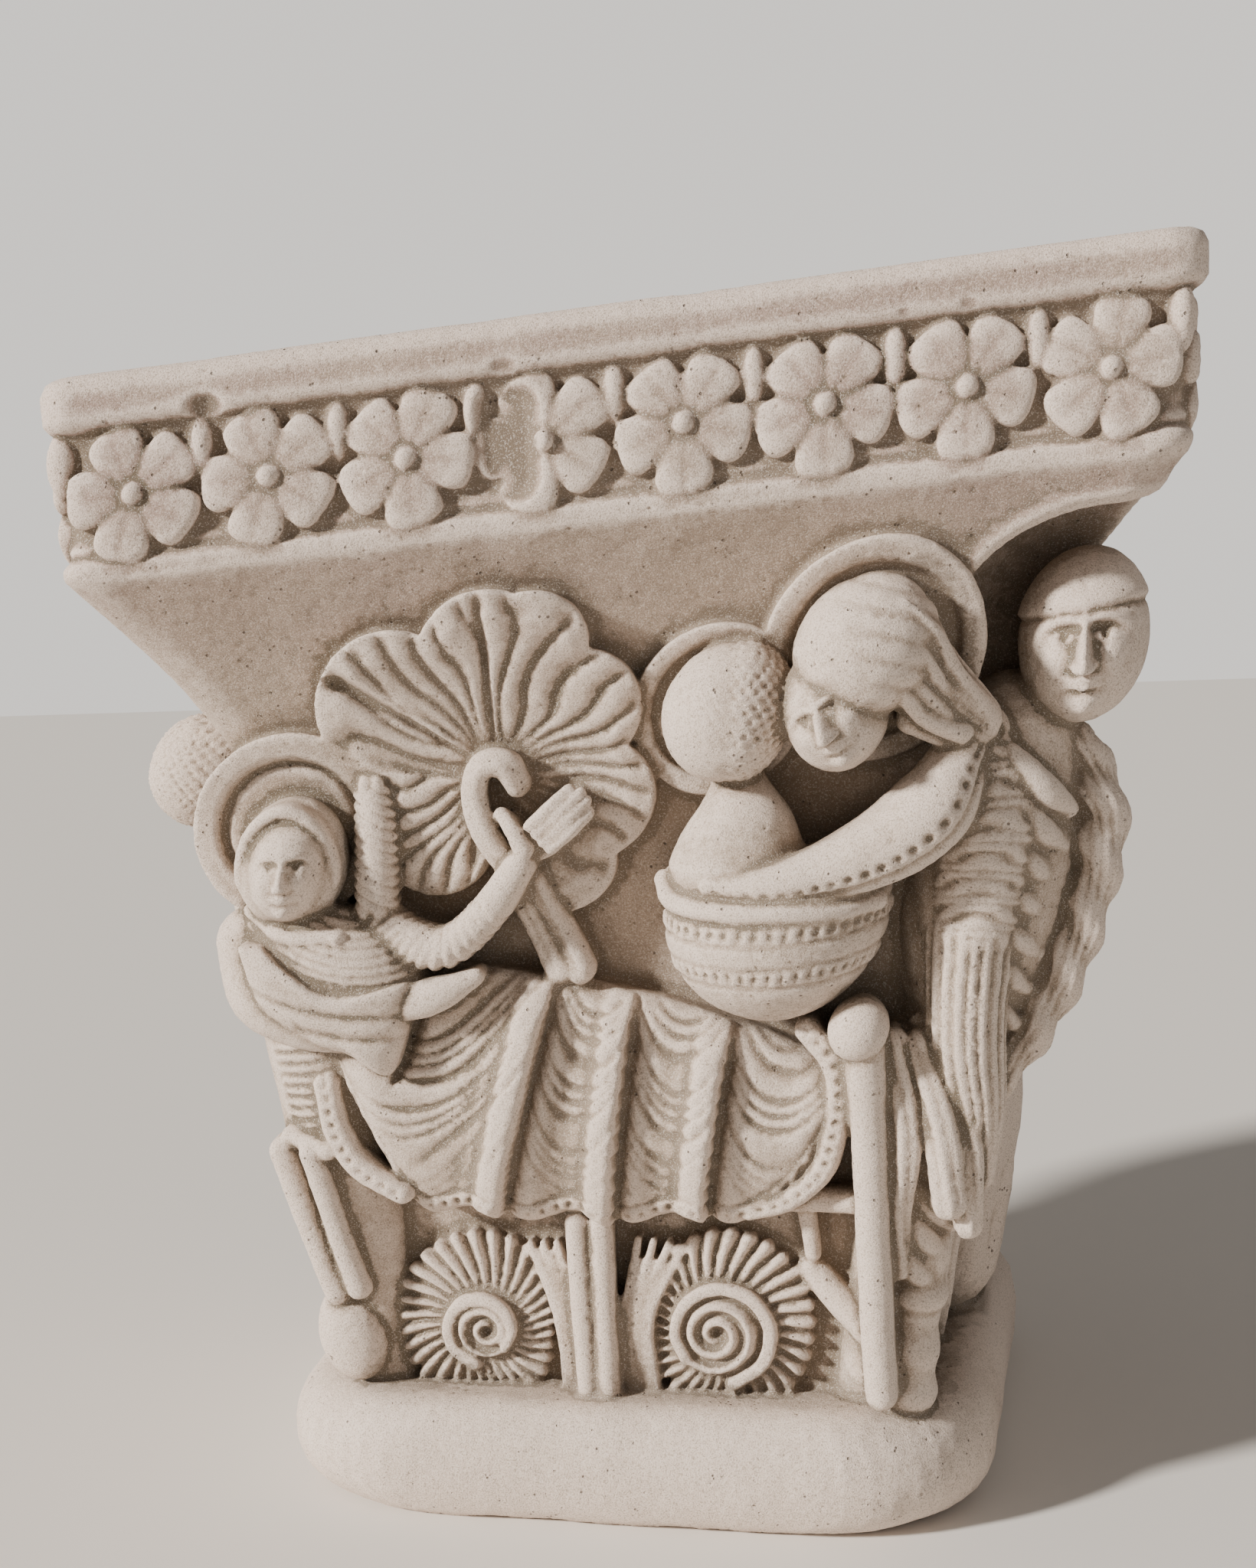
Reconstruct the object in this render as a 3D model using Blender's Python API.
"""Carved capital of cast stone, made as one piece.

Metres, +Z up. The origin is the centre of the underside, the front looks along -Y.
The block is drawn upright and true, then leaned as the real casting is: its top rises
to the right and its foot is turned a little. Carving is placed on a side by three
numbers: along the side, up from the underside, and out from the bare ground.
"""

from math import cos, pi, radians, sin, sqrt, tan

import bmesh
import bpy
from mathutils import Matrix, Vector

MM = 0.001

# Block
HEIGHT = 383 * MM
TOP_WIDTH = 335 * MM
TOP_CORNER = 11 * MM
FASCIA_HEIGHT = 15 * MM
BAND_HEIGHT = 45 * MM
BAND_RECESS = 3 * MM
FILLET_HEIGHT = 6 * MM
FILLET_STEP = 4 * MM
NECK_WIDTH = 231 * MM
NECK_HEIGHT = 235 * MM
WAIST_WIDTH = 174 * MM
BODY_CORNER = 14 * MM
BASE_WIDTH = 240 * MM
BASE_HEIGHT = 40 * MM
BASE_CORNER = 52 * MM
BASE_EDGE = 17 * MM

# How the casting leans
TOP_LEAN = radians(5.2)
FOOT_TURN = radians(-8.6)

# Carving
FLOWERS = 8
FLOWER_RADIUS = 19 * MM
FLOWER_RELIEF = 4.5 * MM
FLOWER_ROOT = 4 * MM
HALO_RIM = 4 * MM
DISH_RADIUS = 43 * MM
DISH_OUT = 25 * MM
LEAF_RELIEF = 10 * MM
BLANKET_RELIEF = 27 * MM

# Making
VOXEL = 1.9 * MM
TRIANGLES = 5700
ROOT = 12 * MM
BITE = 3 * MM
CUT_MARGIN = 30 * MM

STONE_COLOUR = (0.62, 0.55, 0.47, 1)
STONE_ROUGHNESS = 0.9

BAND_TOP = HEIGHT - FASCIA_HEIGHT
BAND_FOOT = BAND_TOP - BAND_HEIGHT
FILLET_WIDTH = TOP_WIDTH - 2 * FILLET_STEP
FRONT, RIGHT, BACK, LEFT = 0, 90, 180, 270
FRONT_RIGHT, BACK_RIGHT, BACK_LEFT, FRONT_LEFT = 45, 135, 225, 315

# The carving is drawn in units of the neck's width, from the foot to the fillet
DRAWN_FOOT = 40
DRAWN_FILLET = 323
DRAWN_WIDTH = 231
UNIT = NECK_WIDTH / DRAWN_WIDTH


def eased(share):
    share = min(max(share, 0), 1)
    return share * share * (3 - 2 * share)


def ground(z):
    """Half the block's bare width at a height, between its foot and its fillet."""
    if z <= NECK_HEIGHT:
        share = max(0, (z - BASE_HEIGHT) / (NECK_HEIGHT - BASE_HEIGHT))
        return (WAIST_WIDTH + (NECK_WIDTH - WAIST_WIDTH) * share**1.35) / 2
    share = min(1, (z - NECK_HEIGHT) / (BAND_FOOT - NECK_HEIGHT))
    return (NECK_WIDTH + (FILLET_WIDTH - NECK_WIDTH) * share**1.5) / 2


def place(x, z, out, side):
    """A drawn point of the carving as a point of the upright block."""
    rise = (z - DRAWN_FOOT) / (DRAWN_FILLET - DRAWN_FOOT)
    height = BASE_HEIGHT + rise * (BAND_FOOT - BASE_HEIGHT)
    reach = ground(height)
    if side % 90:
        reach = reach * sqrt(2) - BODY_CORNER
    point = Vector((x * UNIT, -reach - out * UNIT, height))
    return Matrix.Rotation(radians(side), 3, "Z") @ point


def leaned(point):
    """Where a point of the upright block is in the real casting."""
    share = eased(point.z / HEIGHT)
    turned = Matrix.Rotation(FOOT_TURN * (1 - share), 3, "Z") @ point
    turned.z = point.z + tan(TOP_LEAN) * point.x * share
    return turned


def rounded_square(half, corner, z, steps=6, between=48):
    centre = half - corner
    ring = []
    for quarter in range(4):
        turn = Matrix.Rotation(radians(90 * quarter), 3, "Z")
        for step in range(steps + 1):
            angle = pi / 2 * step / steps
            ring.append(turn @ Vector((centre + corner * cos(angle), centre + corner * sin(angle), z)))
        for step in range(1, between):
            ring.append(turn @ Vector((centre - 2 * centre * step / between, half, z)))
    return ring


def dished(point):
    """A point of the bell, pressed back where the round dish behind a corner head is sunk."""
    for side in (FRONT_RIGHT, BACK_RIGHT, BACK_LEFT):
        middle = place(4, 272, DISH_OUT / UNIT, side)
        away = point - middle
        if away.length < DISH_RADIUS:
            return middle + away.normalized() * DISH_RADIUS
    return point


def loft(stone, rings):
    """Closed skin over rings of the same number of points."""
    rows = [[stone.verts.new(point) for point in ring] for ring in rings]
    count = len(rows[0])
    for low, high in zip(rows, rows[1:]):
        for i in range(count):
            j = (i + 1) % count
            stone.faces.new((low[i], low[j], high[j], high[i]))
    stone.faces.new(list(reversed(rows[0])))
    stone.faces.new(rows[-1])


def block(stone):
    """Base cushion, bell, fillet, band ground and fascia, as one turned-over skin."""
    rings = [rounded_square(BASE_WIDTH / 2 - BASE_EDGE, BASE_CORNER, -CUT_MARGIN)]
    for step in range(9):
        angle = pi * step / 8
        half = BASE_WIDTH / 2 - BASE_EDGE * (1 - sin(angle))
        rings.append(rounded_square(half, BASE_CORNER, BASE_HEIGHT * (1 - cos(angle)) / 2))
    for step in range(61):
        z = BASE_HEIGHT + (BAND_FOOT - BASE_HEIGHT) * step / 60
        rings.append([dished(point) for point in rounded_square(ground(z), BODY_CORNER, z)])
    band = FILLET_WIDTH / 2 - BAND_RECESS
    rings.append(rounded_square(FILLET_WIDTH / 2, TOP_CORNER, BAND_FOOT + FILLET_HEIGHT))
    rings.append(rounded_square(band, TOP_CORNER, BAND_FOOT + FILLET_HEIGHT * 1.5))
    rings.append(rounded_square(band, TOP_CORNER, BAND_TOP - FILLET_HEIGHT / 2))
    rings.append(rounded_square(TOP_WIDTH / 2, TOP_CORNER, BAND_TOP))
    rings.append(rounded_square(TOP_WIDTH / 2, TOP_CORNER, HEIGHT + CUT_MARGIN))
    loft(stone, rings)


def ball(stone, x, z, out, radii, side=FRONT, tilt=0, root=0, brim=1):
    """An egg of stone: radii along the side, out from it and up, tilted in the side's plane.
    Its back half reaches down into the block, as a mould leaves it, and a bowl is cut off
    flat at the brim, a share of its upper radius."""
    across, deep, tall = (r * UNIT for r in radii)
    root = max(deep, out * UNIT + BITE, root * UNIT)
    turn = Matrix.Rotation(radians(side), 4, "Z") @ Matrix.Rotation(radians(tilt), 4, "Y")
    made = bmesh.ops.create_icosphere(stone, subdivisions=3, radius=1)
    for vert in made["verts"]:
        vert.co.x *= across
        vert.co.y *= root if vert.co.y > 0 else deep
        vert.co.z = min(vert.co.z, brim) * tall
    matrix = Matrix.Translation(place(x, z, out, side)) @ turn
    bmesh.ops.transform(stone, matrix=matrix, verts=made["verts"])


def smooth_path(points, steps=5):
    """Points along the curve that passes through all of these."""
    ends = [points[0] * 2 - points[1], *points, points[-1] * 2 - points[-2]]
    path = []
    for a, b, c, d in zip(ends, ends[1:], ends[2:], ends[3:]):
        for step in range(steps):
            t = step / steps
            path.append(
                (b * 2 + (c - a) * t + (a * 2 - b * 5 + c * 4 - d) * t**2 + (b * 3 - a - c * 3 + d) * t**3) / 2
            )
    return [*path, points[-1]]


LIMB_MIDDLE = ((1, 0),)
LIMB_ENDS = {0: ((0.35, 0.95), (0.8, 0.6), (1, 0)), 2: ((1, 0), (0.8, 0.6), (0.35, 0.95))}


def limb(stone, route, side=FRONT, sides=12):
    """A round member along a route of (x, z, out, radius), with rounded ends. Its back half
    reaches down into the block, as a mould leaves it."""
    outward = Matrix.Rotation(radians(side), 3, "Z") @ Vector((0, -1, 0))
    middles = smooth_path([place(x, z, out, side) for x, z, out, _ in route])
    sizes = smooth_path([Vector((radius * UNIT, out * UNIT + BITE, 0)) for _, _, out, radius in route])
    last = len(middles) - 1
    rings = []
    for i, (middle, size) in enumerate(zip(middles, sizes)):
        along = (middles[min(i + 1, last)] - middles[max(i - 1, 0)]).normalized()
        facing = (outward - along * outward.dot(along)).normalized()
        beside = along.cross(facing)
        radius, root = size.x, max(size.x, size.y)
        for share, beyond in LIMB_ENDS.get((i > 0) + (i == last), LIMB_MIDDLE):
            centre = middle + along * (-beyond if i == 0 else beyond) * radius
            ring = []
            for k in range(sides):
                angle = 2 * pi * k / sides
                depth = radius if cos(angle) >= 0 else root
                ring.append(centre + (facing * cos(angle) * depth + beside * sin(angle) * radius) * share)
            rings.append(ring)
    loft(stone, rings)


def fan(stone, x, z, reach, rise, side=FRONT, spokes=60, steps=8):
    """A round plaque about a point: reach(angle) is its outline and rise(share, angle) its relief."""
    front, back = [], []
    for step in range(1, steps + 1):
        share = step / steps
        for ring, lift in ((front, rise), (back, None)):
            points = []
            for spoke in range(spokes):
                angle = 2 * pi * spoke / spokes
                radius = reach(angle) * share
                out = lift(share, angle) if lift else -ROOT / UNIT
                points.append(place(x + radius * cos(angle), z + radius * sin(angle), out, side))
            ring.append(points)
    middle = stone.verts.new(place(x, z, rise(0, 0), side))
    rows = [[stone.verts.new(point) for point in ring] for ring in front]
    rows.append([stone.verts.new(point) for point in back[-1]])
    for i in range(spokes):
        j = (i + 1) % spokes
        stone.faces.new((middle, rows[0][i], rows[0][j]))
        for low, high in zip(rows, rows[1:]):
            stone.faces.new((low[i], high[i], high[j], low[j]))
    stone.faces.new(list(reversed(rows[-1])))


def patch(stone, left, right, foot, top, rise, side=FRONT, columns=48, rows=16):
    """A sheet of stone between two heights, foot(x) and top(x), with relief rise(x, share)."""
    grid = []
    for column in range(columns + 1):
        x = left + (right - left) * column / columns
        low, high = foot(x), top(x)
        line = []
        for row in range(rows + 1):
            share = row / rows
            z = low + (high - low) * share
            line.append((x, z, rise(x, share)))
        grid.append(line)
    front = [[stone.verts.new(place(*point, side)) for point in line] for line in grid]
    back = [[stone.verts.new(place(x, z, -ROOT / UNIT, side)) for x, z, _ in line] for line in grid]
    for c in range(columns):
        for r in range(rows):
            stone.faces.new((front[c][r], front[c + 1][r], front[c + 1][r + 1], front[c][r + 1]))
            stone.faces.new((back[c][r + 1], back[c + 1][r + 1], back[c + 1][r], back[c][r]))
    for r in range(rows):
        for line_front, line_back, flip in ((front[0], back[0], False), (front[-1], back[-1], True)):
            face = (line_front[r], line_front[r + 1], line_back[r + 1], line_back[r])
            stone.faces.new(tuple(reversed(face)) if flip else face)
    for c in range(columns):
        stone.faces.new((front[c][0], back[c][0], back[c + 1][0], front[c + 1][0]))
        stone.faces.new((front[c][rows], front[c + 1][rows], back[c + 1][rows], back[c][rows]))


def halo(stone, x, z, radius, out, side=FRONT):
    """A dished disc with a raised rim, behind a head."""
    rim = HALO_RIM / UNIT
    fan(stone, x, z, lambda angle: radius, lambda share, angle: out + (rim if share > 0.8 else rim / 2), side)


def flower(stone, along, turn, side):
    """A five-petalled flower of the band, with a knob in its middle."""
    half = FILLET_WIDTH / 2 - BAND_RECESS
    height = BAND_FOOT + FILLET_HEIGHT / 2 + (BAND_HEIGHT - FILLET_HEIGHT / 2) / 2
    about = Matrix.Rotation(radians(side), 3, "Z")
    rings = []
    for on_petal, in_notch, petal_out, notch_out in (
        (0.24, 0.24, 0.6, 0.5),
        (0.78, 0.6, 1, 0.4),
        (1, 0.74, 0.4, 0),
        (1, 0.74, -FLOWER_ROOT / FLOWER_RELIEF, -FLOWER_ROOT / FLOWER_RELIEF),
    ):
        ring = []
        for spoke in range(10):
            angle = radians(turn) + pi * spoke / 5
            reach, out = (in_notch, notch_out) if spoke % 2 else (on_petal, petal_out)
            x = along + FLOWER_RADIUS * reach * cos(angle)
            z = height + FLOWER_RADIUS * reach * sin(angle)
            ring.append(stone.verts.new(about @ Vector((x, -half - FLOWER_RELIEF * out, z))))
        rings.append(ring)
    knob = stone.verts.new(about @ Vector((along, -half - FLOWER_RELIEF * 1.15, height)))
    root = stone.verts.new(about @ Vector((along, -half + FLOWER_ROOT, height)))
    for i in range(10):
        j = (i + 1) % 10
        stone.faces.new((knob, rings[0][i], rings[0][j]))
        for near, far in zip(rings, rings[1:]):
            stone.faces.new((near[i], far[i], far[j]))
            stone.faces.new((near[i], far[j], near[j]))
        stone.faces.new((root, rings[-1][j], rings[-1][i]))


def flower_band(stone):
    pitch = (FILLET_WIDTH - 2 * FLOWER_RADIUS - BAND_RECESS) / (FLOWERS - 1)
    for side in (FRONT, RIGHT, BACK, LEFT):
        for i in range(FLOWERS):
            flower(stone, (i - (FLOWERS - 1) / 2) * pitch, 90 + 41 * i, side)


def reclining_woman(stone):
    """The woman in the bed: hooded head against a nimbus, raised arm, wide sleeve."""
    fan(stone, -102, 240, lambda angle: 25 + 5 * abs(sin(angle)), lambda share, angle: 6 + 4 * share)
    ball(stone, -101, 229, 14, (18, 18, 23))
    ball(stone, -100, 225, 19, (14, 14, 19))
    limb(stone, ((-75, 248, 8, 6), (-74, 232, 12, 7), (-74, 210, 16, 7)))
    limb(stone, ((-74, 207, 16, 7), (-62, 198, 20, 6.5), (-50, 197, 22, 6.5), (-37, 209, 22, 6), (-28, 224, 22, 5)))
    limb(stone, ((-28, 224, 22, 6), (-18, 232, 22, 6.5), (-10, 239, 19, 4)))
    ball(stone, -86, 196, 14, (26, 18, 14), tilt=28)
    limb(stone, ((-116, 200, 8, 11), (-110, 182, 16, 14), (-94, 169, 20, 15), (-76, 167, 20, 13)))
    limb(stone, ((-64, 174, 24, 6), (-48, 181, 27, 6), (-37, 187, 25, 4)))
    limb(
        stone,
        ((0, 235, 0, 20), (0, 196, 5, 21), (0, 145, 8, 20), (0, 99, 10, 17), (0, 58, 10, 14), (0, 44, 8, 13)),
        FRONT_LEFT,
    )


LEAF_LOBES = (
    (141, 40, 23),
    (92, 36, 21),
    (72, 40, 17),
    (34, 31, 19),
    (-20, 32, 19),
    (-55, 37, 16),
    (-130, 28, 17),
    (197, 18, 17),
)


def leaf_reach(angle):
    """How far the great leaf reaches from its hub: the furthest of its round lobes."""
    reach = 22
    for turn, centre, radius in LEAF_LOBES:
        off = (angle - radians(turn) + pi) % (2 * pi) - pi
        inside = radius**2 - (centre * sin(off)) ** 2
        if inside > 0 and cos(off) > 0:
            reach = max(reach, centre * cos(off) + sqrt(inside))
    return reach


def great_leaf(stone):
    """The ribbed leaf behind the raised hand, with its rolled stem."""
    relief = LEAF_RELIEF / UNIT

    def rise(share, angle):
        return relief * (0.75 + 0.25 * cos(26 * angle) * share) * (1 - 0.35 * share**6)

    fan(stone, -37.5, 250, leaf_reach, rise, spokes=120)
    limb(stone, ((-31, 247, 12, 4), (-36, 254, 14, 4), (-43, 251, 14, 4), (-43, 238, 15, 4), (-35, 224, 16, 4)))
    limb(stone, ((-27, 214, 10, 6), (-19, 199, 10, 7), (-12, 186, 12, 7)))


def blanket(stone):
    """The cloth over the bed, hanging in three deep folds."""
    relief = BLANKET_RELIEF / UNIT

    def top(x):
        return 190 - 0.00145 * (x + 62) ** 2 - (0.10 * (x + 62))

    def foot(x):
        centre = 101 + 0.00075 * abs(x - 8) ** 2
        left = 62 * max(0, (-62 - x) / 30) ** 2
        right = 46 * max(0, (x - 44) / 28) ** 2
        return min(centre + left + right, top(x) - 3)

    def rise(x, share):
        lean = x + 15 * (1 - share)
        ridges = sum(6.5 * max(0, 1 - abs(lean - fold) / 9) for fold in (-21, 7, 40))
        ends = max(0, abs(x + 8) - 66) / 16
        body = relief * (0.66 + 0.28 * sin(pi * min(share, 1) ** 0.8))
        return (body + ridges) * (1 - 0.35 * ends**2)

    patch(stone, -90, 74, foot, top, rise)


def bath(stone):
    """The child in the round basin."""
    halo(stone, 30, 263, 27, 2)
    ball(stone, 33, 263, 18, (19, 18, 20))
    limb(stone, ((37, 244, 12, 8), (38, 232, 17, 14), (40, 216, 18, 20)))
    ball(stone, 50, 203, 12, (35, 31, 35), brim=0.2)


def bending_woman(stone):
    """The woman who bends over the basin."""
    halo(stone, 76, 276, 33, 2)
    ball(stone, 74, 277, 17, (21, 20, 20))
    ball(stone, 67, 260, 22, (14, 14, 16), tilt=-25)
    limb(stone, ((82, 276, 14, 13), (94, 264, 15, 11), (107, 253, 13, 8)))
    limb(stone, ((101, 242, 18, 9), (94, 228, 26, 13), (80, 219, 30, 11), (64, 214, 34, 8), (48, 212, 37, 5)))
    limb(stone, ((107, 246, 6, 12), (112, 218, 8, 14), (110, 190, 8, 13)))
    limb(stone, ((109, 190, 8, 14), (109, 160, 10, 12), (113, 134, 9, 9), (116, 116, 8, 4)))


def bedstead(stone):
    """Right-hand post with its ball, the rail and brace behind it, centre leg, left-hand legs."""
    ball(stone, 77, 165, 26, (9, 9, 9))
    limb(stone, ((79, 158, 24, 6), (82, 120, 22, 5), (86, 50, 18, 5)))
    limb(stone, ((46, 107, 8, 4), (80, 107, 12, 4)))
    limb(stone, ((61, 104, 8, 3), (63, 88, 6, 3)))
    limb(stone, ((62, 82, 2, 5), (82, 62, 8, 5)))
    for lean in (-4, 0, 4):
        limb(stone, ((-11 + lean * 1.4, 98, 10, 3.2), (-6.5 + lean, 42, 12, 3.2)))
    limb(stone, ((-110, 124, 13, 4.5), (-94, 76, 14, 4.5)))
    limb(stone, ((-99, 124, 17, 4), (-86, 78, 15, 4)))
    limb(stone, ((-113, 133, 13, 5), (-95, 127, 18, 5)))
    ball(stone, -91, 58, 9, (11, 9, 16), tilt=-15)


def hanging_cloth(stone):
    """The gathered cloth under the bending woman, and the booted foot on the corner."""
    limb(stone, ((87, 158, 16, 5), (92, 130, 18, 6), (90, 104, 16, 5), (91, 86, 13, 4)))
    limb(stone, ((95, 157, 14, 5), (103, 132, 18, 6), (106, 109, 18, 6)))
    limb(stone, ((99, 154, 12, 5), (110, 128, 14, 6), (112, 101, 14, 5)))
    limb(stone, ((3, 88, 24, 9), (2, 70, 27, 8), (2, 46, 26, 8)), FRONT_RIGHT)


def scroll_leaf(stone, x, z, hand):
    """A leaf on the foot: a toothed fan of leaflets with a rolled stem upon it. hand is 1 or -1."""

    def reach(angle):
        tooth = 2.5 * abs(sin(8 * angle))
        upward = max(0, sin(angle)) * 4
        inner = 7 * max(0, -hand * cos(angle)) ** 2
        low = (z - DRAWN_FOOT) / max(0.3, -sin(angle))
        return min(28 + tooth + upward - inner, low) if sin(angle) < 0 else 28 + tooth + upward - inner

    fan(stone, x, z, reach, lambda share, angle: 4 + 4 * share * (1 - share**6) + cos(16 * angle) * share)
    turns = []
    for step in range(9):
        angle = radians(-70 + 50 * step)
        radius = 18 - 1.6 * step
        turns.append((x + hand * radius * cos(angle), z + radius * sin(angle), 8 + step * 0.5, 3.6))
    limb(stone, turns, sides=8)
    ball(stone, x, z, 9, (8, 6, 9))


def scrolls(stone):
    scroll_leaf(stone, -46, 59, -1)
    scroll_leaf(stone, 33, 60, 1)
    for x_top, z_top, x_foot in ((-24, 80, -16), (0, 82, 0), (10, 70, 7)):
        limb(stone, ((x_top, z_top, 7, 3), (x_foot, 42, 9, 3)), sides=8)


def standing_figure(stone, side):
    """A haloed figure on a corner, under the abacus: head, cloak, and arm with its fall of cloth.
    On the hidden corners it keeps closer to the block below the knee."""
    full = side == FRONT_RIGHT
    ball(stone, 14, 273, 14, (19.5, 18.5, 24.5), side, root=38)
    if full:
        limb(stone, ((9, 130, 12, 18), (2, 100, 10, 15), (-2, 58, 9, 12), (-2, 44, 8, 12)), side)
        limb(stone, ((2, 92, 20, 9), (1, 70, 22, 8), (0, 44, 22, 9)), side)
    limb(stone, ((9, 244, 8, 21), (11, 205, 14, 23), (9, 165, 10, 20), (2, 120, 0, 14), (0, 58, -3, 12), (0, 44, -3, 12)), side)
    limb(
        stone,
        ((20, 242, 24, 8), (25, 220, 35, 9), (24, 190, 38, 9), (19, 162, 34, 9), (11, 138, 24, 8), (4, 116, 12, 7)),
        side,
    )
    limb(stone, ((-10, 236, 16, 7), (-12, 205, 22, 7), (-8, 170, 24, 6)), side)


def plain_side(stone, side):
    """A hidden side: one robed figure between two leaves on the foot."""
    halo(stone, 0, 262, 27, 1, side)
    ball(stone, 0, 262, 18, (17, 17, 20), side)
    limb(stone, ((0, 240, 8, 12), (0, 212, 8, 22), (0, 160, 8, 20), (0, 112, 8, 24), (0, 62, 8, 22)), side)
    limb(stone, ((20, 226, 12, 7), (26, 196, 20, 7), (8, 186, 28, 6)), side)
    limb(stone, ((-20, 226, 12, 7), (-26, 196, 20, 7), (-8, 204, 28, 6)), side)
    for hand in (-1, 1):
        limb(stone, ((hand * 34, 44, 8, 6), (hand * 50, 92, 8, 10), (hand * 60, 150, 8, 12), (hand * 50, 190, 12, 5)), side)
        limb(stone, ((hand * 66, 44, 6, 6), (hand * 74, 88, 6, 9), (hand * 80, 128, 8, 4)), side)


def curly_head(stone):
    """A second, curly-haired figure on the left side, whose head shows past the front corner."""
    ball(stone, 84, 256, 21, (17, 18, 19), LEFT)
    limb(stone, ((84, 236, 12, 12), (80, 205, 8, 15), (75, 150, 6, 13), (72, 110, 4, 8)), LEFT)


def cutter(name, low, lean):
    """A block that trims the stone to a flat face: it is a guide and is never shown."""
    mesh = bpy.data.meshes.new(name)
    form = bmesh.new()
    size = TOP_WIDTH * 2
    matrix = Matrix.Translation((0, 0, low)) @ Matrix.Diagonal((size, size, CUT_MARGIN * 4, 1))
    bmesh.ops.create_cube(form, size=1, matrix=matrix)
    for vert in form.verts:
        vert.co.z += tan(lean) * vert.co.x
    form.to_mesh(mesh)
    form.free()
    guide = bpy.data.objects.new(name, mesh)
    guide.hide_render = True
    guide.display_type = "WIRE"
    bpy.context.collection.objects.link(guide)
    return guide


def stone_material():
    material = bpy.data.materials.new("cast_stone")
    material.use_nodes = True
    shader = material.node_tree.nodes["Principled BSDF"]
    shader.inputs["Base Color"].default_value = STONE_COLOUR
    shader.inputs["Roughness"].default_value = STONE_ROUGHNESS
    shader.inputs["Metallic"].default_value = 0
    return material


def listed(name, form):
    """The overlapping forms, leaned as the casting is, as a named object."""
    for vert in form.verts:
        vert.co = leaned(vert.co)
    bmesh.ops.recalc_face_normals(form, faces=form.faces)
    mesh = bpy.data.meshes.new(name)
    form.to_mesh(mesh)
    form.free()
    owner = bpy.data.objects.new(name, mesh)
    bpy.context.collection.objects.link(owner)
    return owner


def fuse(capital):
    """The overlapping forms made one skin, thinned to the number of triangles wanted."""
    remesh = capital.modifiers.new("one skin", "REMESH")
    remesh.mode = "VOXEL"
    remesh.voxel_size = VOXEL
    bpy.context.view_layer.update()
    graph = bpy.context.evaluated_depsgraph_get()
    dense = capital.evaluated_get(graph).to_mesh()
    triangles = sum(len(face.vertices) - 2 for face in dense.polygons)
    thin = capital.modifiers.new("thinned", "DECIMATE")
    thin.ratio = TRIANGLES / triangles
    thin.use_collapse_triangulate = True


def join_flowers(capital):
    """The band's flowers, added to the thinned stone so that their petals stay crisp."""
    form = bmesh.new()
    flower_band(form)
    flowers = listed("band_flowers", form)
    flowers.hide_render = True
    flowers.display_type = "WIRE"
    join = capital.modifiers.new("flowers", "BOOLEAN")
    join.operation = "UNION"
    join.use_self = True
    join.object = flowers


def trim(capital):
    """Flat underside to stand on, and flat top that leans with the casting."""
    for guide in (
        cutter("underside_trim", -CUT_MARGIN * 2, 0),
        cutter("top_trim", HEIGHT + CUT_MARGIN * 2, TOP_LEAN),
    ):
        cut = capital.modifiers.new(guide.name, "BOOLEAN")
        cut.operation = "DIFFERENCE"
        cut.object = guide


def main():
    for old in list(bpy.data.objects):
        bpy.data.objects.remove(old)
    stone = bmesh.new()
    block(stone)
    great_leaf(stone)
    reclining_woman(stone)
    blanket(stone)
    bath(stone)
    bending_woman(stone)
    bedstead(stone)
    hanging_cloth(stone)
    scrolls(stone)
    for side in (FRONT_RIGHT, BACK_RIGHT, BACK_LEFT):
        standing_figure(stone, side)
    for side in (RIGHT, BACK, LEFT):
        plain_side(stone, side)
    curly_head(stone)
    capital = listed("capital", stone)
    capital.data.materials.append(stone_material())
    fuse(capital)
    join_flowers(capital)
    trim(capital)


main()
